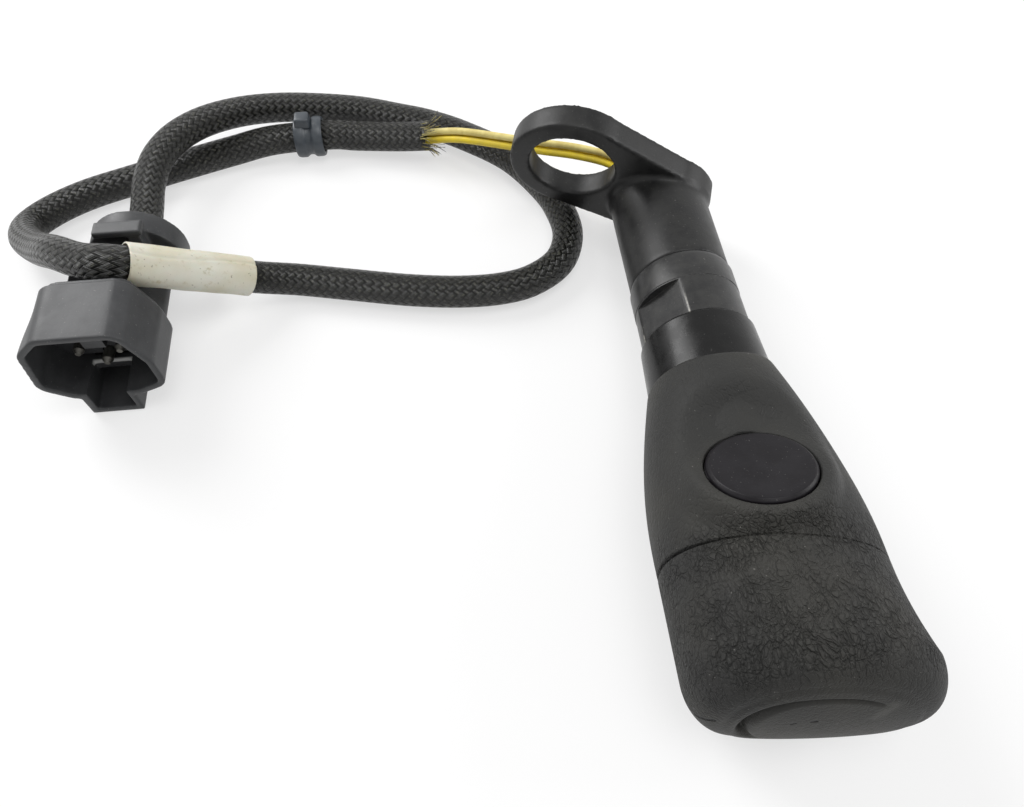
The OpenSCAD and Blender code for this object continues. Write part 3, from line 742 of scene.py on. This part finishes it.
adapter_coat = coated("adapter_black", dark=(0.014, 0.014, 0.0145, 1),
                      light=(0.026, 0.026, 0.025, 1), rough=0.34, scale=300, bump=0.00004,
                      dust=0.3, sheen=0.3)
# The edges of the flats are painted light: partly wear through the paint, partly a painted
# highlight.
edge_wear_and_highlight = adapter_coat.node("ShaderNodeAttribute", {"attribute_name": "wear"}, {}, "Fac")
patchy = adapter_coat.noise(adapter_coat.place(), 700, 2).ramp(0.3, 0.6)
adapter_coat.feed("Base Color", adapter_coat.blend(edge_wear_and_highlight.ramp(0.35, 0.9) * patchy,
                                                   adapter_coat.base, (0.30, 0.29, 0.26, 1)))
adapter_coat.dress(adapter)

# ---------------------------------------------------------------------------
# Collar and core tube: the collar is smooth semi-gloss black plastic where the grip
# starts, pressed on. The zinc-plated tube goes through it into the grip.
# ---------------------------------------------------------------------------

break_edges(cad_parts["grip_collar"], width=0.0003, angle=32)
coated("collar_black", dark=(0.004, 0.004, 0.004, 1), light=(0.006, 0.006, 0.006, 1), rough=0.26,
       scale=200, bump=0.00002, dust=0.1, sheen=0.22).dress("grip_collar")
bare("zinc_steel", (0.55, 0.56, 0.57, 1), rough=0.35, metal=1.0).dress("core_tube")

# ---------------------------------------------------------------------------
# Grip: integral-skin foam over the core, charcoal, wrinkled like leather.
# One fine skin through rings, with the heel joint sunk across it, the hole for the
# button cut in its top and a creased, slightly domed end.
# ---------------------------------------------------------------------------

collar_long, grip_long = 0.0132, 0.0694
grip_neck, grip_wide, grip_flat = 0.014, 0.0418, 0.89
swell_over, round_over = 0.040, 0.026
heel_at, seam_at = 0.042, 0.0428
end_round, end_inset, end_dome = 0.0078, 0.0055, 0.0024
belly_at = grip_long - end_round
belly = grip_wide / 2 * grip_flat
squareness = 1 / 1.1
skew_heel, skew_end = math.tan(math.radians(8)), math.tan(math.radians(4.5))
end_slope = math.tan(math.radians(3.6))
off_centre, heel_out = 0.0011, 0.003
core_cover, top_from = 0.01335, 0.3
button_lean = math.radians(17)
button_aside, button_at, button_high = 0.001, 0.0337, 0.0184
button_wide, button_gap = 0.020, 0.0005
face_lean, face_side = math.radians(22.5), math.radians(4.5)
face_rim, face_run_out, face_soft, face_sunk = 0.006, 0.008, 0.0015, 0.0006
face_mid = Vector((-button_aside, -collar_long - button_at + button_high * math.sin(button_lean),
                   button_high * math.cos(button_lean)))


def smooth(u):
    """An even step from 0 to 1."""
    v = min(1.0, max(0.0, u))
    return v * v * (3 - 2 * v)


def bulged(value):
    """Cosine or sine of an outline a little squarer than an ellipse."""
    return math.copysign(abs(value) ** squareness, value)


def grip_point(s, angle, shrink_to=1.0, lift=0.0, sink=0.0):
    """A point of the grip's skin: s along it, sunk below the surface by sink. shrink_to and
    lift draw the rings of the end in and out."""
    half = grip_neck + (grip_wide / 2 - grip_neck) * math.sin(math.pi / 2
                                                              * min(1.0, s / swell_over))
    if s > belly_at:
        half -= end_inset * (1 - math.sqrt(max(0.0, 1 - ((s - belly_at) / end_round) ** 2)))
    half = half * shrink_to - sink
    high = half * (1 - (1 - grip_flat) * smooth(s / round_over))
    c, n = math.cos(angle), math.sin(angle)
    u = smooth((s - heel_at) / (grip_long - heel_at))
    skew = skew_heel * smooth(s / heel_at) * (1 - u) + skew_end * u
    heel_share = part_way(s, heel_at, belly_at - heel_at)
    x = (half * bulged(c) + off_centre * smooth(s / heel_at)
         + heel_out * heel_share ** 2 * shrink_to * max(0.0, c))
    z = high * bulged(n)
    bend = z * end_slope + end_dome * (z / belly) ** 2
    y = -collar_long - s - lift - x * skew + bend * u
    if n > top_from:
        aside, ahead = x - face_mid.x, (y - face_mid.y) / math.cos(face_lean)
        away = math.hypot(aside, ahead)
        soft = face_rim + face_run_out * max(0.0, ahead / max(away, 1e-6)) ** 2
        share = smooth((button_wide / 2 + soft - away) / (soft - face_soft))
        face = (face_mid.z - face_sunk - (y - face_mid.y) * math.tan(face_lean)
                + aside * math.tan(face_side) - sink)
        z += share * (face - z)
        if share > 0:
            z = max(z, math.sqrt(max(0.0, core_cover ** 2 - x * x)) - sink)
    return Vector((x, y, z))


grip_sides = 288
seam_narrow, seam_spread, seam_shallow, seam_deeper = 0.00012, 0.00014, 0.00024, 0.0009
near_seam = (-9, -6, -4, -3, -2, -1, 0, 1, 2, 3, 4, 6, 9)
stations = sorted({round(heel_at * i / 76, 5) for i in range(77)}
                  | {round(seam_at + tenths * 0.0001, 5) for tenths in near_seam}
                  | {round(heel_at + (belly_at - heel_at) * i / 36, 5) for i in range(37)}
                  | {round(belly_at + end_round * math.sin(math.radians(a)), 5)
                     for a in range(0, 91, 5)})
grip_rows = []
for s in stations:
    row = []
    for k in range(grip_sides):
        angle = math.tau * k / grip_sides
        left = (0.5 - 0.5 * math.cos(angle)) ** 4
        gap = math.exp(-((s - seam_at) / (seam_narrow + seam_spread * left)) ** 2)
        row.append(grip_point(s, angle, sink=gap * (seam_shallow + seam_deeper * left)))
    grip_rows.append(row)
end_rings, end_rise, end_crown, edge_from = 60, 0.0003, 0.00098, 0.94
fold_at, fold_deep, fold_thin, fold_wider = 0.785, 0.0028, 0.02, 0.03
for i in range(1, end_rings):
    q = 1 - i / end_rings
    row = []
    for k in range(grip_sides):
        angle = math.tau * k / grip_sides
        fade = smooth((angle - 0.75) / 0.9) * smooth((4.1 - angle) / 0.7)
        wide = fold_thin + fold_wider * smooth((angle - 1.6) / 1.2)
        fold = math.exp(-((q - fold_at) / wide) ** 2) * fold_deep * fade
        edge = min(1.0, (1 - q) / (1 - edge_from))
        row.append(grip_point(grip_long, angle, q,
                              end_rise * edge + end_crown * (1 - q * q) - fold))
    grip_rows.append(row)

made = bmesh.new()
rows = [[made.verts.new(p) for p in row] for row in grip_rows]
for here, there in zip(rows, rows[1:]):
    for k in range(grip_sides):
        after = (k + 1) % grip_sides
        made.faces.new((here[k], here[after], there[after], there[k]))
made.faces.new(rows[0])
made.faces.new(rows[-1])
button_place = (Matrix.Translation((-button_aside, -collar_long - button_at, 0))
                @ Matrix.Rotation(-button_lean, 4, "X"))
to_button = button_place.inverted()
hole = button_wide / 2 + button_gap


def off_axis(vert):
    """Distance from the button's axis, on the button's side of the grip."""
    at = to_button @ vert.co
    return math.hypot(at.x, at.y) if at.z > 0 else 1.0


inside = dict.fromkeys(f for v in made.verts if off_axis(v) < hole for f in v.link_faces)
bmesh.ops.delete(made, geom=list(inside), context="FACES")
bmesh.ops.delete(made, geom=[v for v in made.verts if not v.link_faces], context="VERTS")
rim = [e for e in made.edges if len(e.link_faces) == 1]


def draw_in(rim, new_radius, drop=0.0):
    """Moves the hole's edge to new_radius(its radius now) from the axis, and down by drop."""
    for vert in dict.fromkeys(v for e in rim for v in e.verts):
        at = to_button @ vert.co
        out = math.hypot(at.x, at.y)
        at.x, at.y = at.x * new_radius(out) / out, at.y * new_radius(out) / out
        at.z -= drop
        vert.co = button_place @ at


draw_in(rim, lambda out: hole)
for drop, tighten in ((0.00015, 0.00012), (0.0003, 0.00012), (0.0045, 0.0)):
    grown = bmesh.ops.extrude_edge_only(made, edges=rim)["geom"]
    rim = [g for g in grown if isinstance(g, bmesh.types.BMEdge)]
    draw_in(rim, lambda out: out - tighten, drop)
made.transform(lever_place)
bmesh.ops.recalc_face_normals(made, faces=made.faces)
grip = new_piece("grip_skin", made, "lever")
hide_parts("grip_body", "grip_heel")

foam = Finish("grip_foam", {"Specular IOR Level": 0.15})
foam_at = foam.place()
warp = foam.node("ShaderNodeTexNoise", {}, {"Vector": foam_at, "Scale": 160.0, "Detail": 3.0},
                 "Color")
bent = foam.node("ShaderNodeVectorMath", {"operation": "MULTIPLY_ADD"},
                 {0: warp, 1: (0.004, 0.004, 0.004), 2: foam_at})
bent = foam.node("ShaderNodeVectorMath", {"operation": "MULTIPLY"}, {0: bent, 1: (1, 0.6, 1)})
along = foam_at.part(1)
worn = foam.noise(foam_at, 45, 2)


def cracks(scale, width):
    """0 in the cracks between cells of the skin, and 1 at width from them."""
    edge = foam.node("ShaderNodeTexVoronoi", {"feature": "DISTANCE_TO_EDGE"},
                     {"Vector": bent, "Scale": scale}, "Distance")
    return edge.ramp(0.0, width)


def off_line(start, end):
    """Distance from a short line on the grip."""
    start, along_it = Vector(start), Vector(end) - Vector(start)
    off = foam.node("ShaderNodeVectorMath", {"operation": "SUBTRACT"}, {0: foam_at, 1: start})
    share = foam.node("ShaderNodeVectorMath", {"operation": "DOT_PRODUCT"},
                      {0: off, 1: along_it / along_it.length_squared}, 1)
    share = share.fold("MAXIMUM", 0.0).fold("MINIMUM", 1.0)
    nearest = foam.node("ShaderNodeVectorMath", {"operation": "SCALE"},
                        {0: along_it, "Scale": share})
    return foam.node("ShaderNodeVectorMath", {"operation": "DISTANCE"}, {0: off, 1: nearest}, 1)


crackle = cracks(720, 0.16) * 0.6 + cracks(1400, 0.2) * 0.4
open_up = foam.noise(foam_at, 150, 3, 0.7).ramp(0.25, 0.75, 0.25, 1.0)
near_end = along.ramp(-0.062, -0.030, 1.0, 0.0) * along.ramp(-0.0695, -0.064)
near_button = along.ramp(-0.049, -0.045) * along.ramp(-0.043, -0.037, 1.0, 0.0)
strong = near_end * 0.68 + near_button * 0.35 + 0.12
depth = (1 - crackle) * open_up * strong
skin_grain = foam.noise(foam_at, 2600, 3, 0.6)
tint = foam.blend(worn.ramp(0.35, 0.7), (0.029, 0.029, 0.028, 1), (0.041, 0.040, 0.036, 1))
# The cracks are painted darker: painted shade in them.
tint = foam.blend(depth * 0.55, tint, (0.012, 0.012, 0.012, 1))
slit = off_line((-0.0118, -0.0677, 0.0175), (-0.0096, -0.0693, 0.0213)).ramp(
    0.0002, 0.00055, 1.0, 0.0)
pits = off_line((0.0058, -0.0715, 0.0245), (0.0064, -0.0715, 0.0247)).ramp(
    0.0002, 0.0005, 1.0, 0.0)
pits = pits + off_line((0.0026, -0.0714, 0.0235), (0.0031, -0.0714, 0.0238)).ramp(
    0.00015, 0.0004, 0.8, 0.0)
pale_patch = off_line((0.0165, -0.0716, 0.0255), (0.0182, -0.0713, 0.029)).ramp(
    0.0003, 0.0018, 1.0, 0.0)
# The slit and the pits are painted near black: painted shade in them.
tint = foam.blend((slit + pits).fold("MINIMUM", 1.0), tint, (0.004, 0.004, 0.004, 1))
# A pale patch is painted on the end's lower right.
tint = foam.blend(pale_patch * 0.35, tint, (0.11, 0.11, 0.10, 1))
fluff = foam.noise(foam_at, 1900, 1).ramp(0.76, 0.8)
foam.feed("Base Color", foam.blend(fluff * 0.35, tint, (0.3, 0.29, 0.27, 1)))
foam.feed("Roughness", depth.ramp(0.0, 1.0, 0.55, 0.8))
foam.feed("Normal", foam.relief(skin_grain * 0.1 - depth - (slit + pits) * 0.5, 0.0009, 1.0))
foam.dress(grip)

# ---------------------------------------------------------------------------
# Push button: smooth satin cap of moulded plastic, nearly flush in its hole, with a
# recess under it for the spring. The sealed switch below it is held in a carrier in the
# grip; its return spring is wound from wire.
# ---------------------------------------------------------------------------

cap_radius, cap_under, cap_shoulder, shear_over = 0.01, 0.0156, 0.0168, 0.0007
recess_radius, near_axis = 0.0042, 0.00005
cap_outline = [(near_axis, 0.01832), (0.005, 0.01834), (0.0082, 0.0184), (0.0093, 0.0184),
               (0.00985, 0.01785), (cap_radius, 0.0175), (cap_radius, cap_under),
               (recess_radius, cap_under), (recess_radius, cap_shoulder),
               (near_axis, cap_shoulder)]
corner_points = 5      # rounded() gives this many for each corner
cap_soft = rounded(cap_outline, 0.0002)[corner_points:-corner_points]
cap_frame = lever_place @ button_place
cap = turned("button_top", cap_frame, cap_outline[:1] + cap_soft + cap_outline[-1:],
             sides=128, body="button", closed=False)
for vert in cap.data.vertices:
    at = cap_frame.inverted() @ vert.co
    share = part_way(at.z, cap_shoulder, shear_over)
    at.z += share * (at.x * math.tan(face_side) - at.y * math.tan(face_lean - button_lean))
    vert.co = cap_frame @ at
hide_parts("button_cap")
coated("cap_black", dark=(0.008, 0.007, 0.0085, 1), light=(0.0125, 0.0115, 0.0135, 1), rough=0.38,
       scale=240, bump=0.00002, dust=0.2, sheen=0.15).dress(cap)

spring_radius, spring_wire, points_a_turn, spring_points = 0.0052, 0.0005, 40, 140
spring_foot, spring_from, spring_tall = 0.00884, 0.00909, 0.0062
spring_line = []
for i in range(spring_points + 1):
    turn = math.tau * i / points_a_turn
    spring_line.append(cap_frame @ Vector((
        spring_radius * math.cos(turn), spring_radius * math.sin(turn),
        spring_from + spring_tall * i / spring_points)))
spring = swept("spring", spring_line, radius=spring_wire / 2, sides=10, body="lever")
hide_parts("return_spring")
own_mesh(spring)
bare("spring_finish", (0.6, 0.61, 0.62, 1), rough=0.25, metal=1.0).dress(spring)
for node, base, rough, metal in (
        ("switch_carrier", (0.05, 0.05, 0.053, 1), 0.5, 0.0),
        ("switch_housing", (0.012, 0.012, 0.013, 1), 0.4, 0.0),
        ("switch_base", (0.14, 0.04, 0.015, 1), 0.5, 0.0),
        ("switch_terminals", (0.72, 0.55, 0.28, 1), 0.3, 1.0),
        ("retaining_ring", (0.5, 0.5, 0.5, 1), 0.35, 1.0),
        ("housing_seal", (0.01, 0.01, 0.01, 1), 0.55, 0.0),
        ("plunger", (0.7, 0.69, 0.64, 1), 0.4, 0.0),
        ("moving_contact", (0.72, 0.55, 0.28, 1), 0.3, 1.0)):
    bare(node + "_finish", base, rough, metal).dress(node)

# ---------------------------------------------------------------------------
# Connector: glass-filled nylon shell and rear cap, mid grey, satin, dusty, with a painted
# highlight on the bar on its top. The shell is one fine skin over the CAD solid, drawn in
# at its left rear. Tinned pins, a wedge lock and a silicone rear seal are inside.
# ---------------------------------------------------------------------------

taper_from, taper_long, taper_deep = 0.0164, 0.0172, 0.0026
left_side, side_depth = -0.14365, 0.005
made = remeshed("connector_housing", voxel=0.0003)
for vert in made.verts:
    back = smooth((vert.co.y - taper_from) / taper_long)
    side = 1 - part_way(vert.co.x, left_side, side_depth)
    vert.co.x += taper_deep * back * side
soften(made, made.verts, rounds=5)
housing = new_piece("plug_shell", made, "lever")
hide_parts("connector_housing")
break_edges(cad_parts["rear_boot"], width=0.00045, angle=38)
shell = coated("connector_grey", dark=(0.034, 0.035, 0.037, 1), light=(0.05, 0.051, 0.053, 1),
               rough=0.42, scale=160, bump=0.00004, dust=0.3, sheen=0.25)
shell_at = shell.place()
across, forward, upward = (shell_at.part(axis) for axis in range(3))
# The bar on the top is painted light: a painted highlight along its top front edge.
bar_highlight = forward.ramp(0.0250, 0.0253) * forward.ramp(0.0262, 0.0266, 1.0, 0.0)
bar_highlight = bar_highlight * upward.ramp(0.0070, 0.0074) * upward.ramp(0.0088, 0.0092, 1.0, 0.0)
bar_highlight = bar_highlight * (across + 0.1302).fold("ABSOLUTE").ramp(0.0044, 0.0048, 1.0, 0.0)
shell.feed("Base Color", shell.blend(bar_highlight, shell.base, (0.45, 0.45, 0.44, 1)))
shell.dress(housing, "rear_boot")
# The tinned pins are painted dark: painted shade, as they sit deep inside the shell.
for node, base, rough, metal in (
        ("contact_pins", (0.16, 0.155, 0.14, 1), 0.5, 1.0),
        ("rear_seal", (0.2, 0.05, 0.025, 1), 0.5, 0.0),
        ("wedge_lock", (0.03, 0.031, 0.033, 1), 0.45, 0.0)):
    bare(node + "_finish", base, rough, metal).dress(node)
